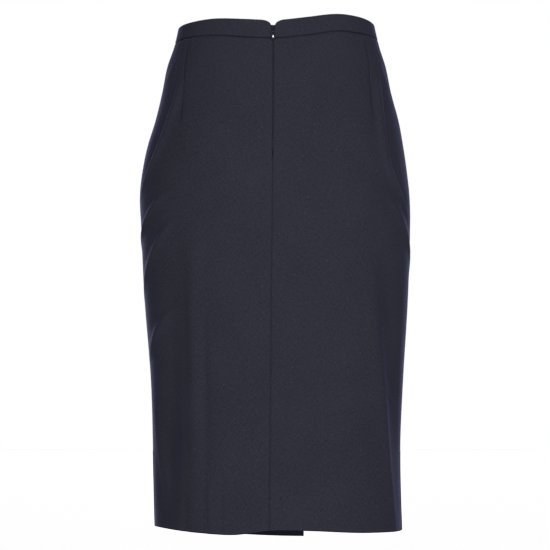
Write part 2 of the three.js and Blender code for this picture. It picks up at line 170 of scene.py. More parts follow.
# Finished detail
SEAM_LAP = 0.1  # sewn pieces reach this far past their shared seam, so no light passes between them
TUCKED = 1.5  # the panels' tops reach this far up behind the waistband
SAMPLE = 2.6  # the shells' mesh size
FINE_SAMPLE = 1.4  # the back panels' columns, for their darts
EDGE_STEPS = (0, 0.04, 0.15, 0.35, 0.65, 1.0, 1.4, 1.9, 2.5, 3.3)  # in shares of a rounded edge's radius
EDGE_END = 4.4
FITTINGS = 3  # rounds in which the angles and heights of a shell's mesh settle
PROBE = {"angle": 0.5, "height": 2}  # the steps to each side that measure a surface's slope
# The cloth's slow waves: rise, waves in a radian, height of a radian, shift.
WAVES = [(0.16, 5, 61, 0.7), (0.14, 9, -47, 2.1), (0.10, 14, 33, 4.4), (0.08, 21, -83, 1.3)]
HEM_TURN = {"tall": 40, "thick": 0.7, "step": 1.2}
DART = {"deep": 0.8, "half": 1.6, "from_axis": 125, "fade": 4}
# The darts' dark lines: a thin near-black cord laid in each dart's dip, painted shade for the crease's shadow
# line.
PAINTED_SHADE_LINE = {"radius": 0.34, "sides": 6, "steps": 60, "inset": 0.01, "lift": 0.1, "taper": 8}
SEAM_DITCH = {"deep": 0.9, "reach": 1.7}  # the cloth dips towards a sewn seam
WAIST_DITCH = {"deep": 1.9, "reach": 1.5}
LIP = {"rise": 3.0, "from_edge": 8.2, "half": 7.6}
SIDE_SEAM_SHARE = 0.3  # the side seams are pressed flatter
SIDE_ZONE = (45, 135)  # the angles at which an edge is a side seam's
WAIST_FROM_AXIS = 130
# The darts: name, top angle, low angle, the tip's height.
DARTS = [("left", -62.5, -52.5, -130), ("right", 64, 53.6, -132)]
PUCKER = {"rise": 0.22, "reach": 9, "period": 17, "waist_share": 0.7}
# The coil's teeth are eight-sided bars, narrower at their ends.
TOOTH = {
    "pitch": 1.2, "tall": 0.62, "wide": 1.2, "deep": 1.5, "short_of_tape": -0.3, "beside_neck": 0.78,
    "first": 0.6, "above_end": 3, "narrow": 0.55, "chamfer": 0.25,
}
TOOTH_SIDES = 8
NEAR_END = ((3, 2, 1, 0), (7, 6, 5, 4), (7, 4, 3, 0))
FAR_END = ((0, 1, 2, 3), (4, 5, 6, 7), (0, 3, 4, 7))

# The photograph's view: 550 pixels square, with MM_PER_PIXEL at the plane of the side seams.
MM_PER_PIXEL = 1.3
CAMERA_DISTANCE = 2450
CAMERA_PITCH = -3.4
PHOTO_SIZE = 550
PHOTO_ORIGIN = (276, 33)
SENSOR = 36

# The studio, in metres. Its lights: name, place, size, power, colour.
FLOOR_HEIGHT = -1.05  # a waist's height above the ground
FLOOR_SIZE = 30
AMBIENT = 0.20
LIGHTS_AIM = (0, 0, -0.32)
LIGHTS = [
    ("key", (1.1, -3.0, 0.6), (1.6, 1.6), 59, (1, 1, 1)),
    ("fill", (-0.7, -3.1, 0.4), (1.6, 1.6), 44, (1, 1, 1)),
    ("left_rim", (-1.1, 2.4, -0.3), (0.7, 1.6), 42, (0.92, 0.94, 1)),
    ("right_rim", (1.1, 2.4, -0.3), (0.7, 1.6), 28, (0.92, 0.94, 1)),
]


def radians(angle):
    return np.radians(angle)


def smooth(x):
    x = np.clip(x, 0, 1)
    return x * x * (3 - 2 * x)


def mix(a, b, share):
    return a + (b - a) * share


def read(rows, at, column):
    """A column of a table between its rows, on a smooth curve through them. Column 0 is the place."""
    rows = sorted(rows)
    x, y = (np.array([row[i] for row in rows], float) for i in (0, column))
    at = np.clip(np.asarray(at, float), x[0], x[-1])
    i = np.clip(np.searchsorted(x, at, side="left") - 1, 0, len(x) - 2)
    before = np.maximum(np.arange(len(x)) - 1, 0)
    after = np.minimum(np.arange(len(x)) + 1, len(x) - 1)
    tangent = (y[after] - y[before]) / (x[after] - x[before])
    span = x[i + 1] - x[i]
    t = (at - x[i]) / span
    return (
        (2 * t**3 - 3 * t**2 + 1) * y[i] + (t**3 - 2 * t**2 + t) * span * tangent[i]
        + (3 * t**2 - 2 * t**3) * y[i + 1] + (t**3 - t**2) * span * tangent[i + 1]
    )


def section(height, key):
    return read(SECTIONS, height, SECTION_KEYS.index(key))


def wrap(angle):
    return (np.asarray(angle) + 180) % 360 - 180


def fold_rise(folds, angle, height):
    rise = np.zeros(np.broadcast(angle, height).shape)
    for _, top_angle, top, low_angle, low, width, tall in folds:
        along = (top - height) / (top - low)
        inside = (along > 0) & (along < 1)
        along = np.clip(along, 0, 1)
        across = wrap(angle - mix(top_angle, low_angle, along)) / (width * FOLD_SPREAD)
        swell = np.sin(np.pi * np.sqrt(along)).clip(0) ** FOLD_FADE
        rise += np.where(inside, tall * swell * np.exp(-across * across), 0)
    return rise


def unevenness(angle, height):
    """The cloth's slow, uneven waves, under half a millimetre."""
    turned = radians(wrap(angle))
    return sum(rise * np.sin(waves * turned + height / tall + shift) for rise, waves, tall, shift in WAVES)


def dart_rise(angle, height):
    """The darts' sewn lines, from the waist seam to their tips."""
    rise = np.zeros(np.broadcast(angle, height).shape)
    for _, top_angle, low_angle, tip in DARTS:
        top = waist_seam(top_angle)
        along = (top - height) / (top - tip)
        middle = mix(top_angle, low_angle, np.clip(along, 0, 1))
        away = radians(wrap(angle - middle)) * DART["from_axis"]
        fade = np.where((along > 0) & (along < 1), smooth((1 - along) * DART["fade"]), 0)
        rise -= DART["deep"] * fade * np.exp(-((away / DART["half"]) ** 2))
    return rise


def side_seam(height, side):
    return read(SIDE_SEAMS, height, 1 if side == "left" else 2)


def mouth(height, side):
    """How fully a pocket's mouth is there, from 0 to 1."""
    top, low = POCKETS[side]
    return smooth((top - height) / POCKET_DIP["fade_top"]) * smooth((height - low) / POCKET_DIP["fade_low"])


def pocket_dip(away, height, side):
    ahead = np.clip((away - side_seam(height, side)) / POCKET_DIP["reach"], 0, 1)
    return POCKET_DIP["deep"] * mouth(height, side) * (1 - ahead) ** 2


def radius(angle, height, layer):
    """The distance of a layer's outer face from the skirt's axis. The layer is back or front."""
    turned = wrap(angle)
    across, along = np.abs(np.sin(radians(turned))), np.abs(np.cos(radians(turned)))
    width = np.where(turned < 0, section(height, "left"), section(height, "right"))
    depth = np.where(np.abs(turned) > SIDES, section(height, "front"), section(height, "back"))
    power = section(height, "square")
    plain = ((across / width) ** power + (along / depth) ** power) ** (-1 / power)
    rise = fold_rise(FOLDS, turned, height)
    if layer == "front":
        left, right = (pocket_dip(np.abs(turned), height, side) for side in ("left", "right"))
        rise = rise - np.where(turned < 0, left, right)
    return plain + rise


def surface(angle, height, layer):
    r = radius(angle, height, layer)
    return np.stack([r * np.sin(radians(angle)), -r * np.cos(radians(angle)), height + 0 * r], axis=-1)


def outward(angle, height, layer):
    """The outward direction of a layer's outer face."""
    a, h = PROBE["angle"], PROBE["height"]
    across = surface(angle + a, height, layer) - surface(angle - a, height, layer)
    down = surface(angle, height - h, layer) - surface(angle, height + h, layer)
    normal = np.cross(down, across)
    return normal / np.linalg.norm(normal, axis=-1, keepdims=True)


def as_angle(distance, angle, height, layer="back"):
    return np.degrees(distance / radius(angle, height, layer))


def back_seam(height, moved):
    return np.degrees(np.arctan2(read(BACK_SEAM, height, 1) + moved, section(height, "back")))


def sewn(height):
    """What closes the back seam's gap below the zip."""
    return (SEAM_GAP / 2 + SEAM_LAP) * smooth((ZIP_END - height) / ZIP_CLOSING)


def back_edge(side):
    return lambda height: back_seam(height, side * (read(EDGE_PARTING, height, 1) - sewn(height)))


def slit_half(height):
    deep = (SLIT_TOP - height) / (SLIT_TOP - FRONT_RIGHT_HEM[0][1])
    return -SEAM_LAP * smooth(-SLIT_CLOSING * deep) + SLIT_HALF_AT_HEM * np.clip(deep, 0, 1)


def front_seam(side):
    """The edge of the front's piece on that side of the slit's seam, 1 for the left piece."""
    def edge(height):
        half = side * slit_half(height)
        return 180 - np.degrees(np.arctan2(FRONT_SEAM_RIGHT - half, section(height, "front")))
    return edge


def side_edge(seam, side):
    """The edge of a piece on one side of a seam, whose angle is a function of the height."""
    return lambda height: seam(height) - side * as_angle(SEAM_LAP, seam(height), height)


def tucked_edge(seam, side, name):
    """A front panel's edge, which goes on under the lip of the pocket's mouth."""
    def edge(height):
        under = SEAM_LAP + POCKET_DIP["tucked_under"] * mouth(height, name)
        return seam(height) - side * as_angle(under, seam(height), height)
    return edge


def right_seam(height):
    return side_seam(height, "right")


def left_seam(height):
    return -side_seam(height, "left")


def left_seam_from_front(height):
    return 360 + left_seam(height)


def at_angle(angle):
    return lambda height: angle + 0 * height


def waist_seam(angle):
    return read(WAIST, wrap(angle), 1)


def band_top(angle):
    return read(WAIST, wrap(angle), 2)


def panel_top(angle):
    return waist_seam(angle) + TUCKED


def band_bottom(angle):
    return waist_seam(angle)


def hem(rows):
    return lambda angle: read(rows, angle, 1)


def front_hem(rows):
    """A front panel's hem goes on from the back's at the side."""
    def edge(angle):
        turned = wrap(angle)
        return np.where(np.abs(turned) < SIDES + HEM_JOIN, hem(BACK_HEM)(turned), hem(rows)(angle))
    return edge


def rounded_top(side):
    """The waistband's top edge, rounded off at the zip."""
    def top(angle):
        plain = band_top(angle)
        edge = back_edge(side)(plain - BAND_CORNER["tall"])
        away = radians(np.abs(wrap(angle) - edge)) * radius(angle, plain, "back")
        turn = 1 - np.clip(away / BAND_CORNER["wide"], 0, 1)
        return plain - BAND_CORNER["tall"] * (1 - np.sqrt(1 - turn * turn))
    return top


def shares(length, size, edge):
    """Shares of a length, about size apart, with the steps of a rounded edge at both ends."""
    close = edge * np.array(EDGE_STEPS)
    middle = np.linspace(edge * EDGE_END, length - edge * EDGE_END, max(2, int(length / size)))
    return np.concatenate([close, middle, length - close[::-1]]) / length


def rounding(distance, half):
    """How far a face has come in at a distance from its edge."""
    turn = 1 - np.clip(distance / half, 0, 1)
    return half * (1 - np.sqrt(1 - turn * turn))


def from_start(grid, axis):
    """The distance of a grid's points from its first row or column, along the grid."""
    steps = np.cumsum(np.linalg.norm(np.diff(grid, axis=axis), axis=-1), axis=axis)
    return np.concatenate([np.zeros_like(np.take(steps, [0], axis=axis)), steps], axis=axis)


def shell(name, start, end, top, bottom, wide, tall, layer="back", out=0, thick=CLOTH, size=SAMPLE,
          size_across=None, detail=None, inner_extra=None):
    """A closed sheet between two side edges, a top and a bottom, with all its edges rounded."""
    half = thick / 2
    across, down = shares(wide, size_across or size, half), shares(tall, size, half)
    u, v = np.meshgrid(across, down)
    height = mix(top(start(0.0)), bottom(start(0.0)), v)
    angle = mix(start(height), end(height), u)
    for _ in range(FITTINGS):
        height = mix(top(angle), bottom(angle), v)
        angle = mix(start(height), end(height), u)
    face, normal = surface(angle, height, layer), outward(angle, height, layer)
    arc, fall = from_start(face, 1), from_start(face, 0)
    sides = np.minimum(arc, arc[:, -1:] - arc)
    ends = np.minimum(fall, fall[-1:] - fall)
    come_in = np.maximum(rounding(sides, half), rounding(ends, half))
    rise = detail(angle, height, sides, fall) if detail else 0
    deep = inner_extra(height, fall[-1:] - fall) if inner_extra else 0
    outer = face + normal * (out - come_in + rise)[..., None]
    inner = face + normal * (out - thick + come_in + rise - deep)[..., None]
    return closed_sheet(name, outer, inner)


def quads(grid, corners):
    """The four-sided faces between a grid's points, with their corners in the order given."""
    rows, columns = grid.shape
    return np.stack([grid[j:rows - 1 + j, i:columns - 1 + i].ravel() for j, i in corners], axis=1)


def closed_sheet(name, outer, inner):
    """A mesh with two faces that share their border, laid out flat for its weave."""
    shape = outer.shape[:2]
    border = np.zeros(shape, bool)
    border[[0, -1], :] = True
    border[:, [0, -1]] = True
    front = np.arange(border.size).reshape(shape)
    back = front.copy()
    back[~border] = border.size + np.arange((~border).sum())
    points = np.concatenate([outer.reshape(-1, 3), inner[~border]])
    points[front[border]] = ((outer + inner) / 2)[border]
    out_faces = quads(front, ((0, 0), (1, 0), (1, 1), (0, 1)))
    in_faces = quads(back, ((0, 0), (0, 1), (1, 1), (1, 0)))
    arc, fall = from_start(outer, 1), from_start(outer, 0)
    flat = np.stack([arc - arc[:, -1:] / 2, -fall], axis=-1)
    maps = np.concatenate([flat.reshape(-1, 2), flat[~border]])
    return mesh_piece(name, points, np.concatenate([out_faces, in_faces]), maps)


def mesh_piece(name, points, faces, maps=None):
    """A mesh from points in millimetres. maps gives each point's place on the flat cloth."""
    mesh = bpy.data.meshes.new(name)
    faces = np.asarray(faces)
    mesh.vertices.add(len(points))
    mesh.vertices.foreach_set("co", (np.asarray(points) * MM).astype(np.float32).ravel())
    mesh.loops.add(faces.size)
    mesh.loops.foreach_set("vertex_index", faces.ravel().astype(np.int32))
    mesh.polygons.add(len(faces))
    mesh.polygons.foreach_set("loop_start", np.arange(0, faces.size, faces.shape[1], dtype=np.int32))
    mesh.update(calc_edges=True)
    mesh.validate()
    mesh.polygons.foreach_set("use_smooth", np.ones(len(mesh.polygons), bool))
    if maps is not None:
        layer = mesh.uv_layers.new(name="cloth")
        corners = np.empty(len(mesh.loops), np.int32)
        mesh.loops.foreach_get("vertex_index", corners)
        layer.uv.foreach_set("vector", (maps[corners] * MM).astype(np.float32).ravel())
    piece = bpy.data.objects.new(name, mesh)
    bpy.context.scene.collection.objects.link(piece)
    return piece


def join(name, pieces):
    """One piece made of several."""
    bpy.ops.object.select_all(action="DESELECT")
    for piece in pieces:
        piece.select_set(True)
    bpy.context.view_layer.objects.active = pieces[0]
    if len(pieces) > 1:
        bpy.ops.object.join()
    pieces[0].name = pieces[0].data.name = name
    return pieces[0]


def pucker(away, along, ratio, shift):
    """A sewn edge's small, uneven puckers, which die away from it."""
    near = np.exp(-((away / PUCKER["reach"]) ** 2))
    phase = 2 * np.pi * along / PUCKER["period"]
    return PUCKER["rise"] * near * (0.6 * np.sin(phase) + 0.4 * np.sin(phase * ratio + shift))


def ditch(size, away):
    return -size["deep"] * np.exp(-((away / size["reach"]) ** 2))


def panel_detail(angle, height, sides, fall):
    turned = np.abs(wrap(angle))
    pressed = np.where((turned > SIDE_ZONE[0]) & (turned < SIDE_ZONE[1]), SIDE_SEAM_SHARE, 1)
    at_waist = pucker(fall, radians(angle) * WAIST_FROM_AXIS, 0.61, 0.8)
    return (
        fold_rise(CREASES, angle, height) + unevenness(angle, height) + dart_rise(angle, height)
        + pressed * pucker(sides, height, 0.57, 1.9) + PUCKER["waist_share"] * at_waist
        + pressed * ditch(SEAM_DITCH, sides) + ditch(WAIST_DITCH, np.maximum(fall - TUCKED, 0))
    )


def back_detail(angle, height, sides, fall):
    """A back panel's detail, with its rolled lip along the pocket's mouth."""
    turned = wrap(angle)
    there = np.where(turned < 0, mouth(height, "left"), mouth(height, "right"))
    there = there * (np.abs(turned) > SIDE_ZONE[0])
    roll = LIP["rise"] * there * np.exp(-(((sides - LIP["from_edge"]) / LIP["half"]) ** 2))
    return panel_detail(angle, height, sides, fall) + roll


def hem_turn(height, above_hem):
    """The turned-up hem makes the inside thicker."""
    return HEM_TURN["thick"] * (1 - smooth((above_hem - HEM_TURN["tall"]) / HEM_TURN["step"]))


def make_panels():
    shared = {"top": panel_top, "detail": panel_detail, "inner_extra": hem_turn}
    back = {
        **shared, "detail": back_detail, "bottom": hem(BACK_HEM), "wide": 220, "tall": 640,
        "size_across": FINE_SAMPLE,
    }
    front = {**shared, "layer": "front", "tall": 645}
    right = {"bottom": front_hem(FRONT_RIGHT_HEM), "wide": 215}
    left = {"bottom": front_hem(FRONT_LEFT_HEM), "wide": 300}
    return [
        shell("cloth_back_right", back_edge(1), side_edge(right_seam, -1), **back),
        shell("cloth_back_left", side_edge(left_seam, 1), back_edge(-1), **back),
        shell("cloth_front_right", tucked_edge(right_seam, 1, "right"), front_seam(-1), **front, **right),
        shell("cloth_front_left", front_seam(1), tucked_edge(left_seam_from_front, -1, "left"),
              **front, **left),
    ]


def band_detail(angle, height, sides, fall):
    phase = radians(angle) * WAIST_FROM_AXIS
    ripple = 0.10 * np.sin(phase / 4.1 + 0.5) * np.sin(phase / 17 + 1.1) + 0.12 * np.sin(phase / 23 + 2)
    return ripple * smooth(fall / 4)


def make_waistband():
    right, left, left_from_front = at_angle(SIDES), at_angle(-SIDES), at_angle(360 - SIDES)
    band = {
        "bottom": band_bottom, "out": BAND_PROUD, "thick": BAND, "tall": 23, "size": 1.8,
        "detail": band_detail,
    }
    return [
        shell("cloth_waistband_back_right", back_edge(1), side_edge(right, -1), top=rounded_top(1),
              wide=178, **band),
        shell("cloth_waistband_back_left", side_edge(left, 1), back_edge(-1), top=rounded_top(-1),
              wide=174, **band),
        shell("cloth_waistband_front", side_edge(right, 1), side_edge(left_from_front, -1), top=band_top,
              layer="front", wide=345, **band),
    ]


def tape_edge(side, place):
    def edge(height):
        reach = read(EDGE_PARTING, height, 2) if place == "inner" else TAPE["wide"]
        return back_seam(height, side * reach)
    return edge


def make_tapes():
    tape = {
        "top": lambda angle: TAPE["top"] + 0 * angle, "bottom": lambda angle: ZIP_END + 0 * angle,
        "out": BAND_PROUD - BAND - SEAM_GAP, "thick": TAPE["thick"], "wide": 10.5, "tall": 168, "size": 1.5,
    }
    return [
        shell("zip_tape_cloth_right", tape_edge(1, "inner"), tape_edge(1, "outer"), **tape),
        shell("zip_tape_cloth_left", tape_edge(-1, "outer"), tape_edge(-1, "inner"), **tape),
    ]


def face_outward(piece, weld=0):
    """Turn a closed mesh's faces outward, with its points joined where they lie closer than weld."""
    bpy.ops.object.select_all(action="DESELECT")
    piece.select_set(True)
    bpy.context.view_layer.objects.active = piece
    bpy.ops.object.mode_set(mode="EDIT")
    bpy.ops.mesh.select_all(action="SELECT")
    if weld:
        bpy.ops.mesh.remove_doubles(threshold=weld)
    bpy.ops.mesh.normals_make_consistent(inside=False)
    bpy.ops.object.mode_set(mode="OBJECT")


def make_teeth(side):
    """The coil's teeth along one tape's inner edge, half a pitch on from the other side's."""
    n = TOOTH_SIDES
    count = int((TAPE["top"] - ZIP_END - TOOTH["above_end"]) / TOOTH["pitch"])
    shift = 0.5 if side > 0 else 0
    heights = TAPE["top"] - TOOTH["first"] - TOOTH["pitch"] * (np.arange(count) + shift)
    angles = tape_edge(side, "inner")(heights)
    normal = outward(angles, heights, "back")
    middle = surface(angles, heights, "back") + normal * (BAND_PROUD - BAND - SEAM_GAP - TAPE["thick"] / 2)
    along = surface(angles, heights - 1, "back") - surface(angles, heights + 1, "back")
    along /= np.linalg.norm(along, axis=-1, keepdims=True)
    across = np.cross(normal, along) * -side
    across *= np.sign(across[:, :1]) * side
    turns = np.arange(n) * 2 * np.pi / n + np.pi / n
    beside_neck = np.abs(heights - SLIDER["height"]) < SLIDER["ring_radius"] + TOOTH["tall"]
    parting = read(EDGE_PARTING, heights, 2)
    tip = np.where(beside_neck, TOOTH["beside_neck"] - parting, -2 * parting + TOOTH["short_of_tape"])
    root = TOOTH["wide"] + 0 * heights
    ends, chamfer = TOOTH["narrow"], TOOTH["chamfer"]
    rings = [
        middle[:, None] + across[:, None] * reach[:, None, None]
        + normal[:, None] * (np.cos(turns) * TOOTH["deep"] / 2)[None, :, None] * share
        + along[:, None] * (np.sin(turns) * TOOTH["tall"] / 2)[None, :, None] * share
        for reach, share in ((tip, ends), (tip + chamfer, 1), (root - chamfer, 1), (root, ends))
    ]
    points = np.stack(rings, axis=1).reshape(-1, 3)
    faces = []
    for near in range(0, len(points), len(rings) * n):
        far = near + (len(rings) - 1) * n
        for ring in range(near, far, n):
            for i in range(n):
                j = (i + 1) % n
                faces.append((ring + i, ring + j, ring + n + j, ring + n + i))
        faces += [tuple(near + i for i in order) for order in NEAR_END]
        faces += [tuple(far + i for i in order) for order in FAR_END]
    piece = mesh_piece(f"zip_teeth_{'right' if side > 0 else 'left'}", points, faces)
    face_outward(piece)
    return piece


def round_line(x, y, r, start, end, steps):
    """The points of an arc round a centre."""
    turns = [math.radians(a) for a in np.linspace(start, end, steps)]
    return [(x + r * math.cos(a), y + r * math.sin(a)) for a in turns]


def plate(name, loops, thick, bevel, place):
    """A flat plate with the outline and holes given and its edges rounded, put in its place."""
    curve = bpy.data.curves.new(name, "CURVE")
    curve.dimensions = "2D"
    curve.fill_mode = "BOTH"
    curve.extrude = thick / 2 - bevel
    curve.bevel_depth = bevel
    curve.bevel_resolution = 3
    curve.offset = -bevel
    for loop in loops:
        line = curve.splines.new("POLY")
        line.points.add(len(loop) - 1)
        for point, (x, y) in zip(line.points, loop):
            point.co = (x, y, 0, 1)
        line.use_cyclic_u = True
    flat = bpy.data.objects.new(name, curve)
    bpy.context.scene.collection.objects.link(flat)
    bpy.context.view_layer.update()
    mesh = bpy.data.meshes.new_from_object(flat.evaluated_get(bpy.context.evaluated_depsgraph_get()))
    bpy.data.objects.remove(flat)
    mesh.transform(place)
    piece = bpy.data.objects.new(name, mesh)
    bpy.context.scene.collection.objects.link(piece)
    face_outward(piece, WELD)
    mesh.polygons.foreach_set("use_smooth", [True] * len(mesh.polygons))
    mesh.set_sharp_from_angle(angle=math.radians(CREASE_ANGLE))
    return piece


def on_back():
    """The frame that lies on the back's slope at the slider, in millimetres."""
    height = float(SLIDER["height"])
    seat = back_seam(height, 0)
    normal = outward(seat, height, "back")
    place = Vector([float(x) for x in surface(seat, height, "back")])
    return Matrix.Scale(MM, 4) @ Matrix.Translation(place) @ Matrix.Rotation(-math.asin(normal[2]), 4, "X")


UPRIGHT = Matrix.Rotation(math.pi / 2, 4, "X")
ON_EDGE = Matrix(((0, 0, 1, 0), (1, 0, 0, 0), (0, 1, 0, 0), (0, 0, 0, 1)))


def make_slider(seat):
    s = SLIDER
    behind_tapes = BAND - BAND_PROUD + SEAM_GAP + TAPE["thick"] + SEAM_GAP
    middle = behind_tapes + s["body_thick"] / 2
    low, half = -s["body_tall"] / 2, s["body_wide_low"] / 2
    outline = [(-half, low), (half, low)]
    outline += round_line(0, (s["body_tall"] - s["body_wide"]) / 2, s["body_wide"] / 2, 0, 180, 20)
    body = plate("slider_body", [outline], s["body_thick"], s["body_bevel"],
                 seat @ Matrix.Translation((0, middle, 0)) @ UPRIGHT)
    reach, ring = s["pivot_out"] + middle, s["ring_radius"]
    side = [(0, -ring), (reach, -ring), (reach, ring)] + round_line(0, 0, ring, 90, 270, 16)[:-1]
    eye = round_line(0, 0, s["eye_radius"], 0, 345, 16)
    neck = plate("slider_neck", [side, eye], s["neck_wide"], s["neck_bevel"],
                 seat @ Matrix.Translation((0, -s["pivot_out"], 0)) @ ON_EDGE)
    return join("slider", [body, neck])


def make_pull(seat):
    p = PULL
    top, bar, corner = p["top_wide"] / 2, p["bar_radius"], p["corner"]
    outline = [(-top + corner, bar), (-top, bar - corner)]
    outline += round_line(0, p["wide"] / 2 - p["long"], p["wide"] / 2, 180, 360, 24)
    outline += [(top, bar - corner), (top - corner, bar)]
    half, low, high = p["hole_wide"] / 2, -p["hole_end"], -bar
    hole = [(-half, high), (-half, low), (half, low), (half, high)]
    place = seat @ (Matrix.Translation((0, -SLIDER["pivot_out"], 0)) @ UPRIGHT)
    tab = plate("pull_tab", [outline, hole], p["thick"], p["bevel"], place)
    bpy.ops.mesh.primitive_uv_sphere_add(segments=28, ring_count=16, radius=1)
    boss = bpy.context.object
    boss.data.transform(Matrix.Diagonal((*BOSS["half"], 1)))
    boss.data.transform(place @ Matrix.Translation((0, -BOSS["below_pivot"], 0)))
    boss.data.polygons.foreach_set("use_smooth", [True] * len(boss.data.polygons))
    tab.data.materials.append(enamel)
    boss.data.materials.append(polish)
    return join("pull", [tab, boss])


def make_dart_painted_shade_line(name, top_angle, low_angle, tip):
    """A thin near-black cord sunk in the dip along a dart's line. It is painted shade: it stands for the dark
    shadow line of the dart's crease, as the dart's own stitching does not show outside.
    """
    n, inset = PAINTED_SHADE_LINE["sides"], PAINTED_SHADE_LINE["inset"]
    along = np.linspace(inset, 1 - inset, PAINTED_SHADE_LINE["steps"])
    heights = mix(waist_seam(top_angle), tip, along)
    angles = mix(top_angle, low_angle, along)
    normal = outward(angles, heights, "back")
    rise = unevenness(angles, heights) + dart_rise(angles, heights) + fold_rise(CREASES, angles, heights)
    middle = surface(angles, heights, "back") + normal * (rise + PAINTED_SHADE_LINE["lift"])[:, None]
    down = np.gradient(middle, axis=0)
    down /= np.linalg.norm(down, axis=1, keepdims=True)
    across = np.cross(normal, down)
    turns = np.arange(n)[:, None] * 2 * np.pi / n
    thin = PAINTED_SHADE_LINE["radius"] * smooth(PAINTED_SHADE_LINE["taper"] * np.minimum(along, 1 - along))[:, None, None]
    rings = middle[:, None] + thin * (across[:, None] * np.cos(turns) + normal[:, None] * np.sin(turns))
    faces = [
        (ring + i, ring + (i + 1) % n, ring + n + (i + 1) % n, ring + n + i)
        for ring in range(0, (PAINTED_SHADE_LINE["steps"] - 1) * n, n) for i in range(n)
    ]
    return mesh_piece(name, rings.reshape(-1, 3), faces)


class Nodes:
    """A short way to write a material's nodes."""

    def __init__(self, name):
        self.material = bpy.data.materials.new(name)
        self.material.use_nodes = True
        self.tree = self.material.node_tree
        self.shader = self.tree.nodes["Principled BSDF"]

    def add(self, kind, inputs=None, **settings):
        node = self.tree.nodes.new(kind)
        for key, value in settings.items():
            setattr(node, key, value)
        for key, value in (inputs or {}).items():
            if isinstance(value, bpy.types.NodeSocket):
                self.tree.links.new(value, node.inputs[key])
            else:
                node.inputs[key].default_value = value
        return node

    def math(self, operation, *values):
        return self.add("ShaderNodeMath", dict(enumerate(values)), operation=operation).outputs[0]

    def noise(self, vector, stretch, detail=2.0, roughness=0.6):
        spread = self.add("ShaderNodeVectorMath", {0: vector, 1: stretch}, operation="MULTIPLY").outputs[0]
        inputs = {"Vector": spread, "Scale": 1.0, "Detail": detail, "Roughness": roughness}
        return self.add("ShaderNodeTexNoise", inputs).outputs[0]

    def range(self, value, low, high, to_low, to_high):
        inputs = {"Value": value, "From Min": low, "From Max": high, "To Min": to_low, "To Max": to_high}
        return self.add("ShaderNodeMapRange", inputs).outputs[0]

    def blend(self, share, a, b):
        node = self.add("ShaderNodeMix", data_type="RGBA")
        for socket, value in ((node.inputs[0], share), (node.inputs[6], a), (node.inputs[7], b)):
            if isinstance(value, bpy.types.NodeSocket):
                self.tree.links.new(value, socket)
            else:
                socket.default_value = value
        return node.outputs[2]

    def finish(self, color=None, bump=None, strength=0.3, distance=0.0002, **values):
        if color is not None:
            self.tree.links.new(color, self.shader.inputs["Base Color"])
        if bump is not None:
            made = self.add("ShaderNodeBump", {"Height": bump, "Strength": strength, "Distance": distance})
            self.tree.links.new(made.outputs[0], self.shader.inputs["Normal"])
        for key, value in values.items():
            self.shader.inputs[key.replace("_", " ")].default_value = value
        return self.material


WOOL = {
    "dark": (0.0130, 0.0130, 0.0205, 1), "light": (0.0325, 0.0325, 0.0460, 1), "lint": (0.13, 0.13, 0.16, 1),
    "sheen": (0.38, 0.40, 1.0, 1), "yarn": 0.00055, "fibre": 0.13, "slub": 0.30, "cloud": 14, "cells": 75.0,
}
TAPE_CLOTH = {
    "dark": (0.004, 0.004, 0.008, 1), "light": (0.012, 0.012, 0.020, 1), "rib": 0.0006, "herringbone": 0.0009,
}

# The plain materials: how close their grain is, where it turns from dark to light, the two colours, the
# bump's strength and height, and the shader's values.
PLAIN = {
    "zip_enamel": {
        "grain": (900, 900, 900), "detail": 4.0, "turn": (0.55, 0.72),
        "dark": (0.004, 0.004, 0.008, 1), "light": (0.010, 0.010, 0.017, 1), "bump": (0.05, 0.0001),
        "shader": {"Roughness": 0.3, "Specular_IOR_Level": 0.3, "Coat_Weight": 0.2, "Coat_Roughness": 0.12},
    },
    "zip_polish": {
        "grain": (1500, 1500, 1500), "detail": 3.0, "turn": (0.4, 0.7),
        "dark": (0.86, 0.84, 0.98, 1), "light": (0.74, 0.72, 0.86, 1), "bump": (0.03, 0.00005),
        "shader": {"Roughness": 0.42, "Metallic": 1.0},
    },
    "zip_nylon": {
        "grain": (3000, 3000, 3000), "detail": 2.0, "turn": (0.4, 0.6),
        "dark": (0.006, 0.006, 0.011, 1), "light": (0.016, 0.016, 0.026, 1), "bump": (0.1, 0.00005),
        "shader": {"Roughness": 0.35, "Specular_IOR_Level": 0.4},
    },
    # A near-black colour for the darts' lines: painted shade along the darts' creases.
    "dart_painted_shade_line": {
        "grain": (1400, 1400, 2600), "detail": 2.0, "turn": (0.4, 0.6),
        "dark": (0.006, 0.006, 0.010, 1), "light": (0.012, 0.012, 0.019, 1), "bump": (0.1, 0.00005),
        "shader": {"Roughness": 1.0, "Specular_IOR_Level": 0.0},
    },
}


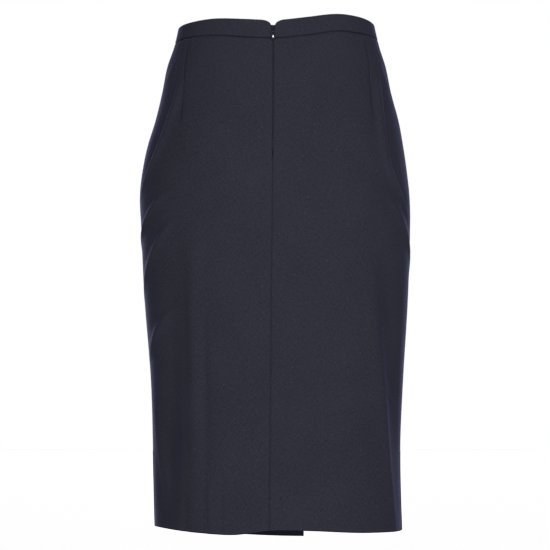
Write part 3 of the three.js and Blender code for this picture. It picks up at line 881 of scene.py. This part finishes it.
def make_wool(name):
    """Fine navy suiting: a plain weave of uneven yarns, dark and light fibres, and a few specks of lint."""
    n = Nodes(name)
    yarn, fibre, slub_size, cloud = WOOL["yarn"], WOOL["fibre"], WOOL["slub"], WOOL["cloud"]
    flat = n.add("ShaderNodeUVMap", uv_map="cloth").outputs[0]
    warp = n.noise(flat, (1 / yarn, fibre / yarn, 1))
    weft = n.noise(flat, (fibre / yarn, 1 / yarn, 1))
    slub = n.noise(flat, (slub_size / yarn, slub_size / yarn, 1), detail=3.0)
    cloudy = n.noise(flat, (cloud, cloud, 1), detail=3.0)
    yarns = n.math("ADD", n.math("MULTIPLY", warp, 0.36), n.math("MULTIPLY", weft, 0.30))
    patches = n.math("ADD", n.math("MULTIPLY", slub, 0.26), n.math("MULTIPLY", cloudy, 0.08))
    fibres = n.math("ADD", yarns, patches)
    color = n.blend(n.range(fibres, 0.38, 0.62, 0, 1), WOOL["dark"], WOOL["light"])
    cells = {"Vector": flat, "Scale": WOOL["cells"], "Randomness": 1.0}
    cell = n.add("ShaderNodeTexVoronoi", cells, voronoi_dimensions="2D")
    near = n.range(cell.outputs["Distance"], 0.018, 0.030, 1, 0)
    drawn = n.add("ShaderNodeSeparateColor", {0: cell.outputs["Color"]}).outputs[0]
    chosen = n.range(drawn, 0.86, 0.87, 0, 1)
    color = n.blend(n.math("MULTIPLY", near, n.math("MULTIPLY", chosen, 0.8)), color, WOOL["lint"])
    sides = n.add("ShaderNodeSeparateXYZ", {0: flat})
    over, under = (n.math("SINE", n.math("MULTIPLY", sides.outputs[i], 2 * math.pi / yarn)) for i in (0, 1))
    weave = n.math("MULTIPLY", over, under)
    rough = n.math("ADD", fibres, n.math("MULTIPLY", slub, 0.6))
    bump = n.math("ADD", n.math("MULTIPLY", weave, 0.3), rough)
    return n.finish(color, bump, 0.35, 0.00025, Roughness=0.95, Specular_IOR_Level=0.05, Sheen_Weight=0.16,
                    Sheen_Roughness=0.3, Sheen_Tint=WOOL["sheen"])


def make_tape_cloth():
    n = Nodes("zip_tape_cloth")
    flat = n.add("ShaderNodeUVMap", uv_map="cloth").outputs[0]
    sides = n.add("ShaderNodeSeparateXYZ", {0: flat})
    ribs = n.math("SINE", n.math("MULTIPLY", sides.outputs[1], 2 * math.pi / TAPE_CLOTH["rib"]))
    slant = n.math("ADD", sides.outputs[0], sides.outputs[1])
    herringbone = n.math("SINE", n.math("MULTIPLY", slant, 2 * math.pi / TAPE_CLOTH["herringbone"]))
    weave = n.math("MULTIPLY", ribs, herringbone)
    fibres = n.noise(flat, (900, 2200, 1))
    color = n.blend(n.range(fibres, 0.35, 0.65, 0, 1), TAPE_CLOTH["dark"], TAPE_CLOTH["light"])
    return n.finish(color, n.math("ADD", weave, fibres), 0.4, 0.0002, Roughness=0.8, Specular_IOR_Level=0.2,
                    Sheen_Weight=0.1)


def make_plain(name):
    look = PLAIN[name]
    n = Nodes(name)
    place = n.add("ShaderNodeTexCoord").outputs["Object"]
    grain = n.noise(place, look["grain"], detail=look["detail"])
    color = n.blend(n.range(grain, *look["turn"], 0, 1), look["dark"], look["light"])
    return n.finish(color, grain, *look["bump"], **look["shader"])


def paint(piece, material):
    piece.data.materials.clear()
    piece.data.materials.append(material)


def make_camera():
    data = bpy.data.cameras.new("camera")
    camera = bpy.data.objects.new("camera", data)
    bpy.context.scene.collection.objects.link(camera)
    bpy.context.scene.camera = camera
    data.sensor_width = SENSOR
    data.lens = data.sensor_width * CAMERA_DISTANCE / MM_PER_PIXEL / PHOTO_SIZE
    data.clip_end = 50
    middle = PHOTO_SIZE / 2
    right, up = middle - PHOTO_ORIGIN[0], PHOTO_ORIGIN[1] - middle
    aim = Vector((right * MM_PER_PIXEL, 0, up * MM_PER_PIXEL)) * MM
    pitch = math.radians(CAMERA_PITCH)
    away = Vector((0, -math.cos(pitch), math.sin(pitch)))
    camera.location = aim + away * CAMERA_DISTANCE * MM
    camera.rotation_euler = (-away).to_track_quat("-Z", "Y").to_euler()


def make_area_light(name, place, size, power, color):
    data = bpy.data.lights.new(name, "AREA")
    data.shape = "RECTANGLE"
    data.size, data.size_y = size
    data.energy = power
    data.color = color
    light = bpy.data.objects.new(name, data)
    light.location = place
    light.rotation_euler = (Vector(LIGHTS_AIM) - Vector(place)).to_track_quat("-Z", "Y").to_euler()
    bpy.context.scene.collection.objects.link(light)


def make_studio():
    bpy.ops.mesh.primitive_plane_add(size=FLOOR_SIZE, location=(0, 0, FLOOR_HEIGHT))
    floor = bpy.context.object
    floor.name = "floor"
    n = Nodes("floor")
    place = n.add("ShaderNodeTexCoord").outputs["Object"]
    grain = n.noise(place, (40, 40, 40))
    color = n.blend(n.range(grain, 0.3, 0.7, 0, 1), (0.90, 0.90, 0.90, 1), (0.93, 0.93, 0.93, 1))
    floor.data.materials.append(n.finish(color, Roughness=0.9, Specular_IOR_Level=0.1))
    floor.is_shadow_catcher = True
    world = bpy.data.worlds.new("studio")
    bpy.context.scene.world = world
    world.use_nodes = True
    backdrop = world.node_tree.nodes["Background"]
    backdrop.inputs[0].default_value = (1, 1, 1, 1)
    backdrop.inputs[1].default_value = 1.0
    soft = world.node_tree.nodes.new("ShaderNodeBackground")
    soft.inputs[0].default_value = (0.94, 0.96, 1, 1)
    soft.inputs[1].default_value = AMBIENT
    seen = world.node_tree.nodes.new("ShaderNodeLightPath").outputs["Is Camera Ray"]
    choice = world.node_tree.nodes.new("ShaderNodeMixShader")
    for source, target in ((seen, 0), (soft.outputs[0], 1), (backdrop.outputs[0], 2)):
        world.node_tree.links.new(source, choice.inputs[target])
    world.node_tree.links.new(choice.outputs[0], world.node_tree.nodes["World Output"].inputs[0])
    for light in LIGHTS:
        make_area_light(*light)
    bpy.context.scene.view_settings.view_transform = "Standard"


make_camera()
make_studio()

wool = make_wool("wool")
tape_cloth = make_tape_cloth()
enamel = make_plain("zip_enamel")
polish = make_plain("zip_polish")
nylon = make_plain("zip_nylon")
# The darts' lines are painted shade: a near-black colour along the creases.
dart_painted_shade_line = make_plain("dart_painted_shade_line")

# Each cloth piece: the node it stands for, the flat size in metres and the area of the part of its cut that
# shows, and what it hangs from.
CLOTH_PIECES = {
    "cloth_back_right": ("back_right", (0.250, 0.642), 0.1377, ["waistband_back_right"]),
    "cloth_back_left": ("back_left", (0.243, 0.638), 0.1316, ["waistband_back_left"]),
    "cloth_front_right": ("front_right", (0.276, 0.643), 0.1385, ["waistband_front"]),
    "cloth_front_left": ("front_left", (0.342, 0.653), 0.1885, ["waistband_front"]),
    "cloth_waistband_back_right": ("waistband_back_right", (0.191, 0.025), 0.0044, []),
    "cloth_waistband_back_left": ("waistband_back_left", (0.183, 0.025), 0.0041, []),
    "cloth_waistband_front": ("waistband_front", (0.367, 0.023), 0.0080, []),
    "zip_tape_cloth_right": ("zip_tape_right", (0.011, 0.168), 0.0018, ["back_right"]),
    "zip_tape_cloth_left": ("zip_tape_left", (0.011, 0.168), 0.0018, ["back_left"]),
}

cloth = make_panels() + make_waistband() + make_tapes()
for piece in cloth:
    node, flat, area, hangs_from = CLOTH_PIECES[piece.name]
    is_tape = node.startswith("zip")
    paint(piece, tape_cloth if is_tape else wool)
    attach(piece, "skirt")
    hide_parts(node)

for side in (1, -1):
    teeth = make_teeth(side)
    paint(teeth, nylon)
    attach(teeth, "skirt")

# A near-black cord along each dart: painted shade, the dark shadow line of the dart's crease.
for name, *dart in DARTS:
    painted_shade_line = make_dart_painted_shade_line("dart_painted_shade_line_" + name, *dart)
    paint(painted_shade_line, dart_painted_shade_line)
    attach(painted_shade_line, "skirt")

seat = on_back()
slider = make_slider(seat)
paint(slider, enamel)
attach(slider, "skirt")
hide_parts("zip_slider")
pull = make_pull(seat)
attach(pull, "pull")
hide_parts("zip_pull")
